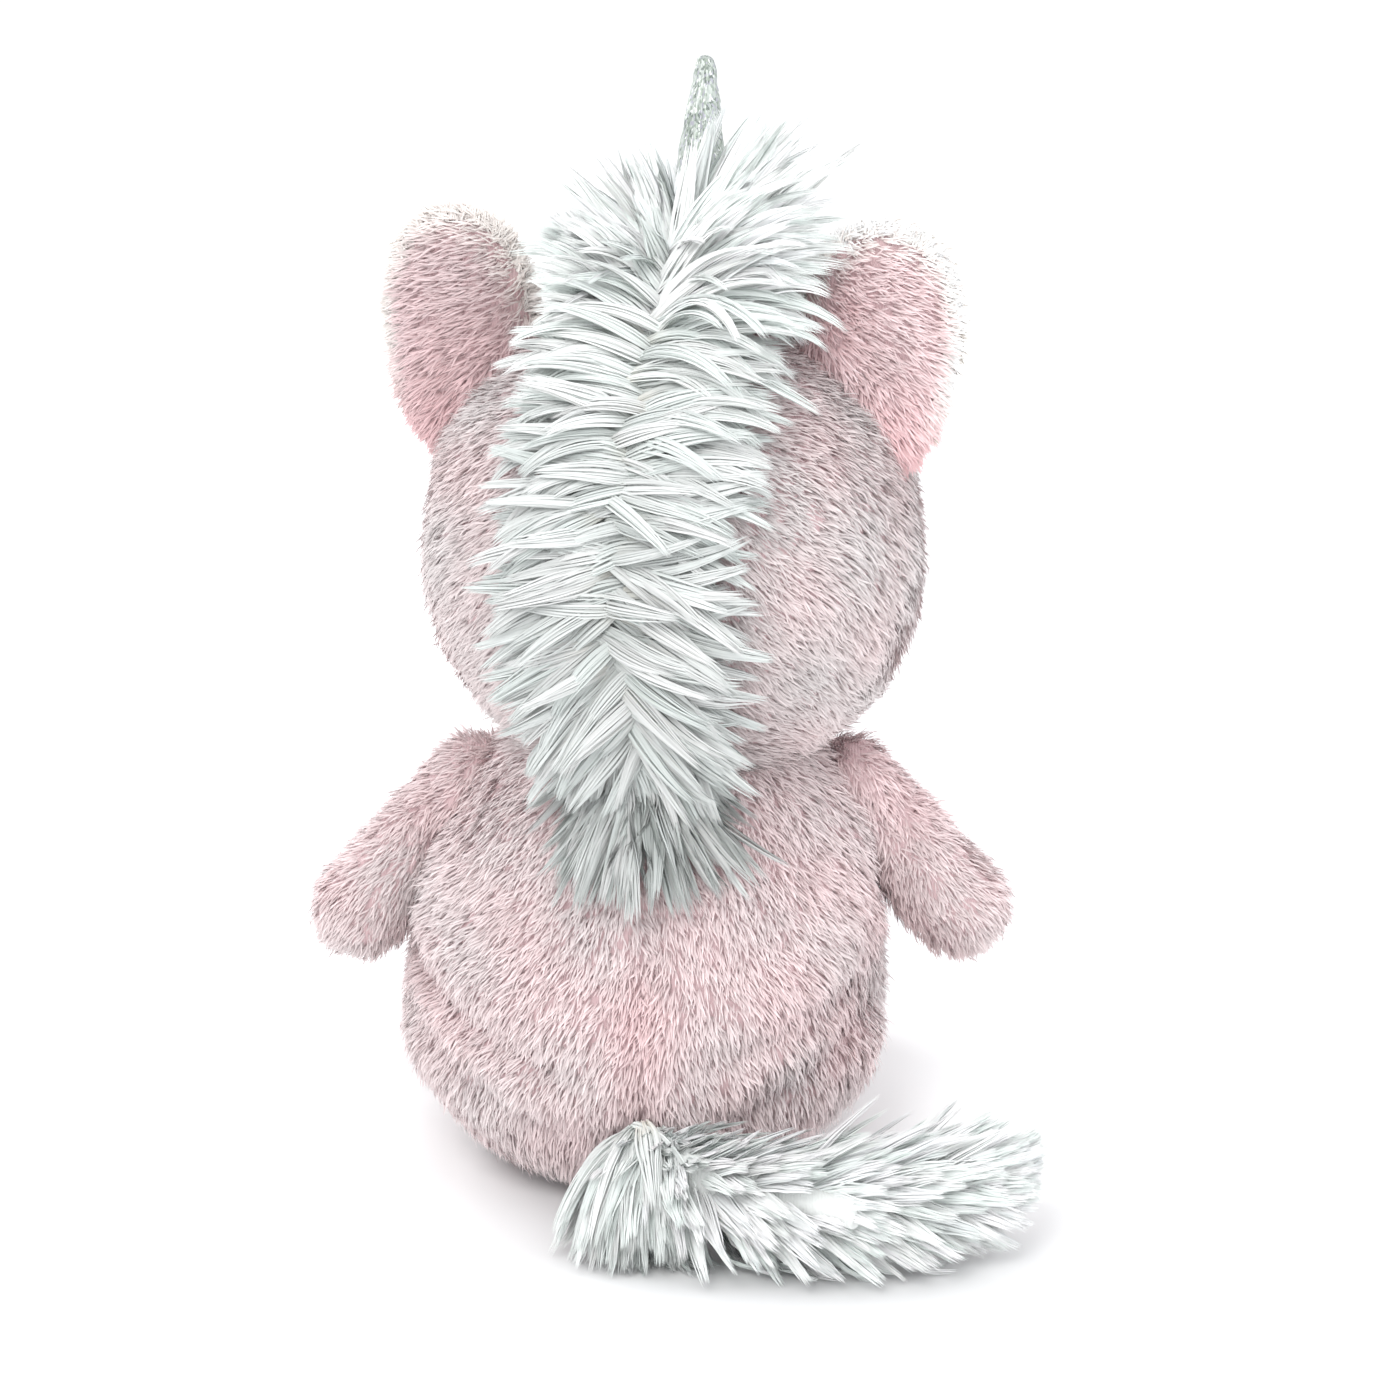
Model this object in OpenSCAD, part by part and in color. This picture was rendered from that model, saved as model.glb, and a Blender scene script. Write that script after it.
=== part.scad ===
// Plush unicorn, sitting, in millimetres.
// +Z is up, the face looks along -Y, and the origin is the middle of the flat seat that it rests on.

/* [Torso] */
// Radius of the torso at its widest ring
torso_r = 70; // [66:1:74]
// Height of the widest ring above the seat
torso_wide_z = 50; // [46:1:54]
// Height from the widest ring to the top of the egg, before the neck is cut
torso_top_h = 98; // [92:1:104]
// Radius of the flat seat
seat_r = 24; // [20:1:30]
// Thickness of the plush cover with its short pile laid flat
cover_t = 3; // [2:0.5:4]

/* [Head] */
// Radius of the head
head_r = 71; // [68:1:73]
// Height of the middle of the head
head_z = 185; // [182:1:188]
// How far the head sits to the side of the torso's middle
head_shift = 9; // [0:1:10]
// How far the face is turned towards -X, in degrees
head_yaw = 10; // [0:1:15]
// Radius of the neck's ball of filling
neck_r = 38; // [36:1:39]
// Height of the neck's ball, which the head turns and nods on
neck_z = 118; // [116:1:120]

/* [Face] */
// Half-width of the muzzle
muzzle_w = 36; // [32:1:38]
// Half-depth of the muzzle
muzzle_d = 28; // [25:1:30]
// Half-height of the muzzle
muzzle_h = 26; // [23:1:28]
// Radius of an eye's dome
eye_r = 6.5; // [5:0.5:7]

/* [Ears and horn] */
// Half-width of an ear
ear_w = 23; // [20:1:24]
// Half-length of an ear, with the part that the head hides
ear_l = 37; // [34:1:38]
// Half-thickness of an ear
ear_t = 6; // [5:0.5:6.5]
// How far an ear leans outwards, in degrees
ear_lean = 9; // [5:1:12]
// Length of the horn above the head
horn_l = 72; // [64:1:76]
// Radius of the horn at its base
horn_r = 12; // [10:0.5:13]

/* [Arms and legs] */
// Radius of an arm at the shoulder
arm_shoulder_r = 14.5; // [13:0.5:15]
// Radius of an arm at the hand
arm_hand_r = 17; // [15:0.5:18]
// Length of an arm from the middle of the shoulder to its tip
arm_l = 68; // [62:1:72]
// How far an arm stands out from straight down, in degrees
arm_out = 40; // [36:1:44]
// Radius of a leg at the hip
leg_hip_r = 18; // [16:0.5:19]
// Radius of a leg at the foot
leg_foot_r = 20.5; // [18:0.5:21]
// Length of a leg from the middle of the hip to the foot's rounded end
leg_l = 63; // [58:1:66]
// How far the legs are splayed, in degrees
leg_splay = 14; // [10:1:18]

/* [Mane and tail] */
// Half-width of the mane's pile, laid down
mane_w = 20; // [16:1:21]
// Height of the mane's pile above the head
mane_h = 13; // [10:1:15]
// Half-length of the tail's plume
tail_l = 48; // [44:1:52]
// Radius of the tail's plume at its thickest
tail_r = 21; // [18:0.5:22]

/* [Hidden] */
$fn = 64;

PINK = [0.93, 0.76, 0.77];
WHITE = [0.96, 0.95, 0.92];
SHAG = [0.93, 0.95, 0.94];
SILVER = [0.78, 0.80, 0.82];
FILLING = [0.98, 0.98, 0.98];
BLACK = [0.05, 0.05, 0.06];
THREAD = [0.80, 0.47, 0.55];

far = 400;                       // larger than the object, for cutting planes
fit_gap = 0.1;                   // between a cover and the filling inside it
move_gap = 0.4;                  // between pieces that move past each other
head_clear = 11;                 // room under the head for its nod
head_c = [-head_shift, 0, head_z];
neck_c = [-head_shift / 2, 0, neck_z];

shoulder = [55, -2, 114];
shoulder_shift = 5;              // the shoulders follow the head to the side
hip = [36, -55, 26];
leg_pitch = 7;                   // how far a leg slopes down to the floor
leg_lift = 20;                   // how far it can be lifted from there
sole_cut = 10;                   // how much of the foot's round end the flat sole takes off
sole_t = 2.5;
sole_r = sqrt(pow(leg_foot_r, 2) - pow(leg_foot_r - sole_cut, 2));

ear_c = [58, 0, 60];             // middle of the ear's oval, from the middle of the head
ear_gap = 3;                     // between the ear's root and the head, for its fold
ear_dome_r = 150;                // radius of an ear's domed faces

muzzle_c = [0, -56, -14];
eye_out = 29;                    // the eyes' places on the head, in degrees
eye_up = 12;
shank_r = 1.8;
shank_l = 9;
washer_r = 5.5;
washer_t = 1.4;
stitch_t = 0.9;                  // how far embroidery stands proud

horn_lean = 15;                  // the horn's lean towards the face
horn_seat = 29;                  // where its root is on the head, forward of the top
horn_tip_r = 2.6;
horn_t = 1.2;

mane_start = 36;                 // the mane runs from this far forward of the top, in degrees,
mane_end = 134;                  // over the top and this far down the back
backing_w = 7;
backing_t = 1;

tail_root = [0, 69, 28];
tail_stub_at = [-20, 23, -3];    // middle of the tail's bushy root, from the tail's root
tail_stub_l = 30;
tail_stub_r = 16;
tail_stub_heading = 132;
tail_plume_at = [-69, 35, -5];   // middle of the plume, from the tail's root
tail_plume_heading = 196;
tail_core_r = 4;
tail_core_l = 66;
tail_core_heading = 145;

pouch_r = 38;
pouch_h = 22;

// ---------- outlines and shared shapes ----------

// Outline of a stuffed limb along its own axis: a round root of radius a, a round end of radius b
function limb_outline(a, b, reach, inset) = concat(
    [for (t = [0:15:75]) [(a - inset) * sin(t), -(a - inset) * cos(t)]],
    [for (u = [0:1 / 6:1]) [a - inset + (b - a) * u * u * (3 - 2 * u), (reach - b) * u]],
    [for (t = [15:15:90]) [(b - inset) * cos(t), reach - b + (b - inset) * sin(t)]]);

// Outline of the horn above its root, with a blunt round tip
function horn_outline(inset) = concat(
    [[0, -20], [horn_r - inset, -20]],
    [for (t = [0:0.125:1]) [horn_tip_r - inset * 0.8 + (horn_r - horn_tip_r) * pow(1 - t, 0.8),
                            (horn_l - 2 - inset) * t]],
    [[horn_tip_r * 0.4, horn_l - 0.4 - inset], [0, horn_l - inset]]);

module ellipsoid(x, y, z) { scale([x, y, z]) sphere(r = 1); }

// A long egg lying along X
module spindle(half_l, r) {
    rotate([0, 90, 0]) rotate_extrude() intersection() {
        scale([r, half_l]) circle(r = 1);
        translate([0, -far / 2]) square(far);
    }
}

// The half of space on the positive side of a plane through the origin
module half_space(direction) {
    translate([for (k = direction) k * far / 2]) cube(far, center = true);
}

module side(s) {
    if (s > 0) children();
    else mirror([1, 0, 0]) children();
}

module in_head() { translate(head_c) rotate([0, 0, -head_yaw]) children(); }

// The torso's egg on its flat seat, moved in by inset
module torso_blank(inset) {
    wide = torso_r - inset;
    rotate_extrude() intersection() {
        union() {
            translate([0, torso_wide_z]) intersection() {
                scale([wide, torso_top_h - inset]) circle(r = 1);
                square(far);
            }
            translate([seat_r, torso_wide_z]) intersection() {
                scale([wide - seat_r, torso_wide_z - inset]) circle(r = 1);
                translate([0, -far]) square(far);
            }
            translate([0, inset]) square([seat_r, torso_wide_z - inset]);
        }
        square(far);
    }
}

// Everything that the torso gives way to
module torso_rooms() {
    translate(head_c) sphere(r = head_r + head_clear);
    translate(neck_c) sphere(r = neck_r + move_gap);
    for (s = [1, -1]) {
        in_arm(s) {
            sphere(r = arm_shoulder_r + move_gap);
            cylinder(r1 = arm_shoulder_r + move_gap, r2 = arm_hand_r + move_gap, h = arm_l - arm_hand_r);
        }
        hip_room(s);
    }
}

module hip_room(s) {
    in_leg(s) sphere(r = leg_hip_r + 2 * move_gap);
    in_leg(s, leg_lift) cylinder(r = leg_hip_r + 3 * move_gap, h = leg_l / 2);
}

// ---------- torso ----------

module torso_shell() {
    difference() {
        torso_blank(0);
        torso_blank(cover_t);
        translate([0, 0, -1]) cylinder(r = seat_r + fit_gap, h = cover_t + 1 + fit_gap);
        torso_rooms();
    }
}

module torso_back_panel(s) {
    color(PINK) intersection() {
        torso_shell();
        half_space([0, 1, 0]);
        half_space([s, 0, 0]);
    }
}

module torso_belly_panel() {
    color(PINK) intersection() {
        torso_shell();
        half_space([0, -1, 0]);
    }
}

module seat_panel() { color(PINK) cylinder(r = seat_r, h = cover_t); }

module pellet_pouch() {
    color(WHITE) translate([0, 0, cover_t + 2]) cylinder(r1 = pouch_r - 8, r2 = pouch_r, h = pouch_h);
}

module torso_stuffing() {
    color(FILLING) difference() {
        torso_blank(cover_t + fit_gap);
        torso_rooms();
        translate([0, 0, cover_t + 2 - fit_gap])
            cylinder(r1 = pouch_r - 7, r2 = pouch_r + 1, h = pouch_h + 2 * fit_gap);
    }
}

// ---------- neck and head ----------

module neck_stuffing() { color(FILLING) translate(neck_c) sphere(r = neck_r); }

// The eye's shank and its washer, along +Z, with the dome's base at the origin
module eye_shank(r) { translate([0, 0, -shank_l]) cylinder(r = r, h = shank_l + 1); }

module at_eye(s) {
    side(s) rotate([0, 0, eye_out]) rotate([90 - eye_up, 0, 0]) translate([0, 0, head_r]) children();
}

module head_panel(s) {
    color(PINK) difference() {
        in_head() intersection() {
            difference() {
                sphere(r = head_r);
                sphere(r = head_r - cover_t);
                at_eye(s) eye_shank(shank_r);
            }
            half_space([s, 0, 0]);
        }
        translate(neck_c) sphere(r = neck_r + move_gap);
    }
}

module head_stuffing() {
    color(FILLING) difference() {
        in_head() difference() {
            sphere(r = head_r - cover_t - fit_gap);
            for (s = [1, -1]) at_eye(s) {
                eye_shank(shank_r + fit_gap);
                translate([0, 0, -cover_t - washer_t - 0.6]) cylinder(r = washer_r + fit_gap, h = washer_t + 1);
            }
        }
        translate(neck_c) sphere(r = neck_r + move_gap);
    }
}

module muzzle_blank(inset) {
    translate(muzzle_c) ellipsoid(muzzle_w - inset, muzzle_d - inset, muzzle_h - inset);
}

module muzzle_cover() {
    color(WHITE) in_head() difference() {
        muzzle_blank(0);
        muzzle_blank(cover_t);
        sphere(r = head_r + fit_gap);
    }
}

module muzzle_stuffing() {
    color(FILLING) in_head() difference() {
        muzzle_blank(cover_t + fit_gap);
        sphere(r = head_r + fit_gap);
    }
}

module eye(s) {
    color(BLACK) in_head() at_eye(s) {
        intersection() {
            translate([0, 0, -1.5]) sphere(r = eye_r);
            translate([0, 0, 0.4]) cylinder(r = eye_r, h = eye_r);
        }
        eye_shank(shank_r);
    }
}

module eye_washer(s) {
    color(WHITE) in_head() at_eye(s) translate([0, 0, -cover_t - washer_t - 0.3]) difference() {
        cylinder(r = washer_r, h = washer_t);
        translate([0, 0, -1]) cylinder(r = shank_r, h = washer_t + 2);
    }
}

// Embroidery: what stands proud of the muzzle inside the shapes drawn on its front
module on_muzzle() {
    color(THREAD) in_head() intersection() {
        difference() {
            muzzle_blank(-stitch_t);
            muzzle_blank(-0.05);
        }
        translate([0, muzzle_c[1], muzzle_c[2]]) rotate([90, 0, 0]) linear_extrude(muzzle_d + 5) children();
    }
}

module nostril_stitching() {
    on_muzzle() for (s = [1, -1]) translate([s * 10, 5]) rotate(s * 20) scale([0.62, 1]) circle(r = 3.4);
}

module mouth_stitching() {
    on_muzzle() intersection() {
        translate([0, 4]) difference() { circle(r = 15.6); circle(r = 14.4); }
        translate([0, -12]) square([17, 10], center = true);
    }
}

// ---------- horn, mane and ears ----------

module in_horn() {
    in_head() translate([0, -head_r * sin(horn_seat), head_r * cos(horn_seat)]) rotate([horn_lean, 0, 0])
        children();
}

module horn_cover() {
    color(SILVER) difference() {
        in_horn() difference() {
            rotate_extrude() polygon(horn_outline(0));
            rotate_extrude() polygon(horn_outline(horn_t));
        }
        in_head() sphere(r = head_r + fit_gap);
    }
}

module horn_stuffing() {
    color(FILLING) difference() {
        in_horn() rotate_extrude() polygon(horn_outline(horn_t + fit_gap));
        in_head() sphere(r = head_r + fit_gap);
    }
}

// Sweeps an outline, drawn with its height above the head along X, over the head from front to back
module over_head() {
    in_head() rotate([0, 90, 0]) rotate([0, 0, 180 - mane_end])
        rotate_extrude(angle = mane_start + mane_end, start = 0) children();
}

module mane_backing() {
    color(WHITE) difference() {
        over_head() translate([head_r + fit_gap, -backing_w]) square([backing_t, 2 * backing_w]);
        in_horn() translate([0, 0, -20]) cylinder(r = horn_r + 1, h = 60);
    }
}

module mane_pile() {
    color(SHAG) difference() {
        over_head() intersection() {
            translate([head_r + backing_t + 2 * fit_gap, -mane_w]) square([mane_h, 2 * mane_w]);
            translate([head_r, 0]) scale([mane_h, mane_w]) circle(r = 1);
        }
        in_horn() translate([0, 0, -20]) cylinder(r = horn_r + 1, h = 60);
    }
}

// One layer of an ear, domed like a cushion: the back one for back = 1, the front one for back = -1
module ear_half(s, back) {
    in_head() side(s) difference() {
        intersection() {
            translate(ear_c) rotate([0, ear_lean, 0]) rotate([90, 0, 0])
                linear_extrude(3 * ear_t, center = true) scale([ear_w, ear_l]) circle(r = 1);
            translate(ear_c - [0, back * (ear_dome_r - ear_t), 0]) sphere(r = ear_dome_r, $fn = 256);
            translate([0, back * fit_gap / 2, 0]) half_space([0, back, 0]);
        }
        sphere(r = head_r + ear_gap);
    }
}

module ear_outer(s) { color(PINK) ear_half(s, 1); }

module ear_lining(s) { color(WHITE) ear_half(s, -1); }

// ---------- arms and legs ----------

module in_arm(s) {
    translate([-shoulder_shift, 0, 0]) side(s) translate(shoulder) rotate([0, 180 - arm_out, 0]) children();
}

module arm_panel(s, back) {
    color(PINK) in_arm(s) intersection() {
        difference() {
            rotate_extrude() polygon(limb_outline(arm_shoulder_r, arm_hand_r, arm_l, 0));
            rotate_extrude() polygon(limb_outline(arm_shoulder_r, arm_hand_r, arm_l, cover_t));
        }
        half_space([0, back, 0]);
    }
}

module arm_stuffing(s) {
    color(FILLING) in_arm(s)
        rotate_extrude() polygon(limb_outline(arm_shoulder_r, arm_hand_r, arm_l, cover_t + fit_gap));
}

module in_leg(s, lift = 0) {
    side(s) translate(hip) rotate([90 + leg_pitch - lift, 0, leg_splay]) children();
}

module leg_panel(s, up) {
    color(PINK) in_leg(s) intersection() {
        difference() {
            rotate_extrude() polygon(limb_outline(leg_hip_r, leg_foot_r, leg_l, 0));
            rotate_extrude() polygon(limb_outline(leg_hip_r, leg_foot_r, leg_l, cover_t));
            translate([0, 0, leg_l - sole_cut]) cylinder(r = far, h = far);
        }
        half_space([0, up, 0]);
    }
}

module sole_pad(s) {
    color(WHITE) in_leg(s) translate([0, 0, leg_l - sole_cut + fit_gap]) cylinder(r = sole_r, h = sole_t);
}

module leg_stuffing(s) {
    color(FILLING) in_leg(s) difference() {
        rotate_extrude() polygon(limb_outline(leg_hip_r, leg_foot_r, leg_l, cover_t + fit_gap));
        translate([0, 0, leg_l - sole_cut]) cylinder(r = far, h = far);
    }
}

// ---------- tail ----------

module tail_core(room) {
    translate(tail_root) rotate([0, 0, tail_core_heading]) translate([6 - room, 0, -3])
        rotate([0, 90, 0]) cylinder(r = tail_core_r + room, h = tail_core_l + 2 * room);
}

module tail_backing() { color(WHITE) tail_core(0); }

module tail_pile() {
    color(SHAG) difference() {
        translate(tail_root) {
            translate(tail_stub_at) rotate([0, 0, tail_stub_heading]) spindle(tail_stub_l, tail_stub_r);
            translate(tail_plume_at) rotate([0, 0, tail_plume_heading]) spindle(tail_l, tail_r);
        }
        tail_core(fit_gap);
    }
}

// ---------- what is drawn ----------

torso_back_panel(1);  // torso_back_left_panel
torso_back_panel(-1);  // torso_back_right_panel
torso_belly_panel();
seat_panel();
torso_stuffing();
pellet_pouch();
neck_stuffing();
head_panel(1);  // head_left_panel
head_panel(-1);  // head_right_panel
head_stuffing();
muzzle_cover();
muzzle_stuffing();
eye(1);  // left_eye
eye(-1);  // right_eye
eye_washer(1);  // left_eye_washer
eye_washer(-1);  // right_eye_washer
nostril_stitching();
mouth_stitching();
horn_cover();
horn_stuffing();
mane_backing();
mane_pile();
ear_outer(1);  // left_ear_outer
ear_lining(1);  // left_ear_lining
ear_outer(-1);  // right_ear_outer
ear_lining(-1);  // right_ear_lining
arm_panel(1, -1);  // left_arm_front_panel
arm_panel(1, 1);  // left_arm_back_panel
arm_stuffing(1);  // left_arm_stuffing
arm_panel(-1, -1);  // right_arm_front_panel
arm_panel(-1, 1);  // right_arm_back_panel
arm_stuffing(-1);  // right_arm_stuffing
leg_panel(1, 1);  // left_leg_upper_panel
leg_panel(1, -1);  // left_leg_lower_panel
sole_pad(1);  // left_sole_pad
leg_stuffing(1);  // left_leg_stuffing
leg_panel(-1, 1);  // right_leg_upper_panel
leg_panel(-1, -1);  // right_leg_lower_panel
sole_pad(-1);  // right_sole_pad
leg_stuffing(-1);  // right_leg_stuffing
tail_backing();
tail_pile();
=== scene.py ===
import math
import bpy
import numpy as np
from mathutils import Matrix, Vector


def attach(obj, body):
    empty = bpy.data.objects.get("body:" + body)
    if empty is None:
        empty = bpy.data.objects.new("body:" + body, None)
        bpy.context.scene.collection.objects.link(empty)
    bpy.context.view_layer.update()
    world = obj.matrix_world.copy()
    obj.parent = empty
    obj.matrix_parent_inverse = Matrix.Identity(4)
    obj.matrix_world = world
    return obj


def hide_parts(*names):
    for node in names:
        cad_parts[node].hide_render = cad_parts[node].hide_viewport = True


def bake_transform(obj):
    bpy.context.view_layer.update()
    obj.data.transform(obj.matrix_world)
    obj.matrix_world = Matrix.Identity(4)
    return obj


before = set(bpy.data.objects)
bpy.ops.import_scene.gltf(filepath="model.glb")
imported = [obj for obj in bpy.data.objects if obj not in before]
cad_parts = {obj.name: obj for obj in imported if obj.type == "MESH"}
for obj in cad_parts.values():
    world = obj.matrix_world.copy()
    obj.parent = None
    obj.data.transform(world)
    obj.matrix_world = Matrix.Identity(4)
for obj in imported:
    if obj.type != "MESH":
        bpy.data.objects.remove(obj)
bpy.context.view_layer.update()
MM = 0.001
SCENE = bpy.context.scene

# ---------------------------------------------------------------- camera, light and floor

AIM = Vector((-0.0165, 0.0, 0.1384))
ELEVATION = math.radians(17)
DISTANCE = 1.25
FRAME_WIDTH = 0.406

cam_data = bpy.data.cameras.new("camera")
camera = bpy.data.objects.new("camera", cam_data)
SCENE.collection.objects.link(camera)
back = Vector((0, math.cos(ELEVATION), math.sin(ELEVATION)))
camera.location = AIM + back * DISTANCE
camera.rotation_mode = "QUATERNION"
camera.rotation_quaternion = (-back).to_track_quat("-Z", "Y")
cam_data.sensor_width = 36
cam_data.lens = 36 * DISTANCE / FRAME_WIDTH
SCENE.camera = camera
SCENE.view_settings.view_transform = "Standard"

world = bpy.data.worlds.new("world")
SCENE.world = world
world.use_nodes = True
world.node_tree.nodes["Background"].inputs["Color"].default_value = (0.97, 0.98, 1.0, 1)
world.node_tree.nodes["Background"].inputs["Strength"].default_value = 1.2


def area_light(name, place, aim, size, watts, colour=(1, 1, 1)):
    data = bpy.data.lights.new(name, "AREA")
    data.shape = "DISK"
    data.size = size
    data.energy = watts
    data.color = colour
    lamp = bpy.data.objects.new(name, data)
    SCENE.collection.objects.link(lamp)
    lamp.location = place
    lamp.rotation_mode = "QUATERNION"
    lamp.rotation_quaternion = (Vector(aim) - Vector(place)).to_track_quat("-Z", "Y")


TOY_MIDDLE = (0, 0, 0.14)
area_light("key", (0.35, 1.25, 1.3), TOY_MIDDLE, 0.7, 9.5, (1, 0.99, 0.98))
area_light("fill", (-1.2, 0.5, 0.7), TOY_MIDDLE, 0.9, 3, (0.95, 0.97, 1))
area_light("front", (0.95, -1.15, 0.9), TOY_MIDDLE, 0.9, 9, (1, 1, 1))


# ---------------------------------------------------------------- small maths

def unit(v):
    return v / np.maximum(np.linalg.norm(v, axis=-1, keepdims=True), 1e-9)


def smooth(x, a, b):
    t = np.clip((x - a) / (b - a), 0, 1)
    return t * t * (3 - 2 * t)


def waves(p, length, seed, count=7):
    """Smooth noise in about -1 to 1 with features as long as length, at points p."""
    r = np.random.default_rng(seed)
    k = unit(r.normal(size=(count, 3))) * (2 * math.pi / length) * r.uniform(0.6, 1.5, (count, 1))
    phase = r.uniform(0, 2 * math.pi, count)
    return np.sin(p @ k.T + phase).sum(-1) / math.sqrt(count) / 1.2


def drift(p, length, seed):
    """Smooth noise in each of the three directions."""
    return np.stack([waves(p, length, seed + i) for i in range(3)], -1)


def turn(v, axis, angle):
    axis = unit(np.asarray(axis, float))
    c, s = math.cos(angle), math.sin(angle)
    return v * c + np.cross(axis, v) * s + axis * (v @ axis)[..., None] * (1 - c)


HEAD_C = np.array([-9.0, 0.0, 185.0])
HEAD_YAW = math.radians(-10)
HEAD_R = 69.0


def from_head(p):
    """Points in the head's own axes, in mm, to the row frame."""
    return turn(np.asarray(p, float), (0, 0, 1), HEAD_YAW) + HEAD_C


def dir_from_head(v):
    return turn(np.asarray(v, float), (0, 0, 1), HEAD_YAW)


def to_head(p):
    return turn(np.asarray(p, float) - HEAD_C, (0, 0, 1), -HEAD_YAW)


# ---------------------------------------------------------------- meshes

def add_mesh(name, verts_mm, faces, material=None, smooth_shade=True):
    """A mesh object from points in mm and an array of triangles or quads."""
    me = bpy.data.meshes.new(name)
    faces = np.asarray(faces, np.int32)
    n, k = faces.shape
    me.vertices.add(len(verts_mm))
    me.vertices.foreach_set("co", (np.asarray(verts_mm) * MM).astype(np.float32).ravel())
    me.loops.add(n * k)
    me.loops.foreach_set("vertex_index", faces.ravel())
    me.polygons.add(n)
    me.polygons.foreach_set("loop_start", np.arange(0, n * k, k, dtype=np.int32))
    me.update(calc_edges=True)
    if smooth_shade:
        me.shade_smooth()
    obj = bpy.data.objects.new(name, me)
    SCENE.collection.objects.link(obj)
    if material:
        me.materials.append(material)
    return obj


def grid_faces(nu, nv, wrap_u=True):
    """Quads of a grid with nu points round and nv points along, stored along v first."""
    u = np.arange(nu if wrap_u else nu - 1)
    v = np.arange(nv - 1)
    U, V = np.meshgrid(u, v, indexing="ij")
    U2 = (U + 1) % nu
    quads = np.stack([U * nv + V, U2 * nv + V, U2 * nv + V + 1, U * nv + V + 1], -1)
    return quads.reshape(-1, 4)


def ball_grid(nu, nv, cap):
    """Directions all over a ball, up to cap radians from its poles, and the quads that join them."""
    u = np.arange(nu) / nu * 2 * math.pi
    v = np.linspace(cap, math.pi - cap, nv)
    U, V = np.meshgrid(u, v, indexing="ij")
    d = np.stack([np.sin(V) * np.sin(U), -np.sin(V) * np.cos(U), -np.cos(V)], -1)
    return d.reshape(-1, 3), grid_faces(nu, nv)


def vertex_normals(verts, quads):
    a, b, c, d = (verts[quads[:, i]] for i in range(4))
    n = np.cross(c - a, d - b)
    out = np.zeros_like(verts)
    for i in range(4):
        np.add.at(out, quads[:, i], n)
    return unit(out)


class Skin:
    """A closed or open quad skin in mm, with its vertex normals facing outwards."""

    def __init__(self, verts, quads):
        self.v, self.q = verts, quads
        self.n = vertex_normals(verts, quads)

    def facing(self, way):
        """This skin, turned inside out if its normals point against way on the whole."""
        against = (self.n * way).sum(-1).mean() < 0
        return Skin(self.v, self.q[:, ::-1]) if against else self

    def sample(self, per_mm2, rng, mask=None, even=False):
        """Points over the skin: places and normals. mask(p, n) says which to keep, and even spreads
        them out, at most one to each small cell of space."""
        wanted = per_mm2
        if even:
            per_mm2 *= 4
        t = np.concatenate([self.q[:, [0, 1, 2]], self.q[:, [0, 2, 3]]])
        a, b, c = (self.v[t[:, i]] for i in range(3))
        area = np.linalg.norm(np.cross(b - a, c - a), axis=1) / 2
        count = int(area.sum() * per_mm2)
        pick = rng.choice(len(t), count, p=area / area.sum())
        r1, r2 = rng.random(count), rng.random(count)
        s = np.sqrt(r1)
        w = np.stack([1 - s, s * (1 - r2), s * r2], -1)[..., None]
        p = (self.v[t[pick]] * w).sum(1)
        n = unit((self.n[t[pick]] * w).sum(1))
        if even:
            cell = np.floor(p / (1.22 / math.sqrt(wanted))).astype(np.int64)
            key = cell[:, 0] * 73856093 ^ cell[:, 1] * 19349663 ^ cell[:, 2] * 83492791
            first = np.sort(np.unique(key, return_index=True)[1])
            p, n = p[first], n[first]
        if mask is not None:
            keep = mask(p, n)
            p, n = p[keep], n[keep]
        return p, n


# ---------------------------------------------------------------- strands

MOST_TRIS = 190000


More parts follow.
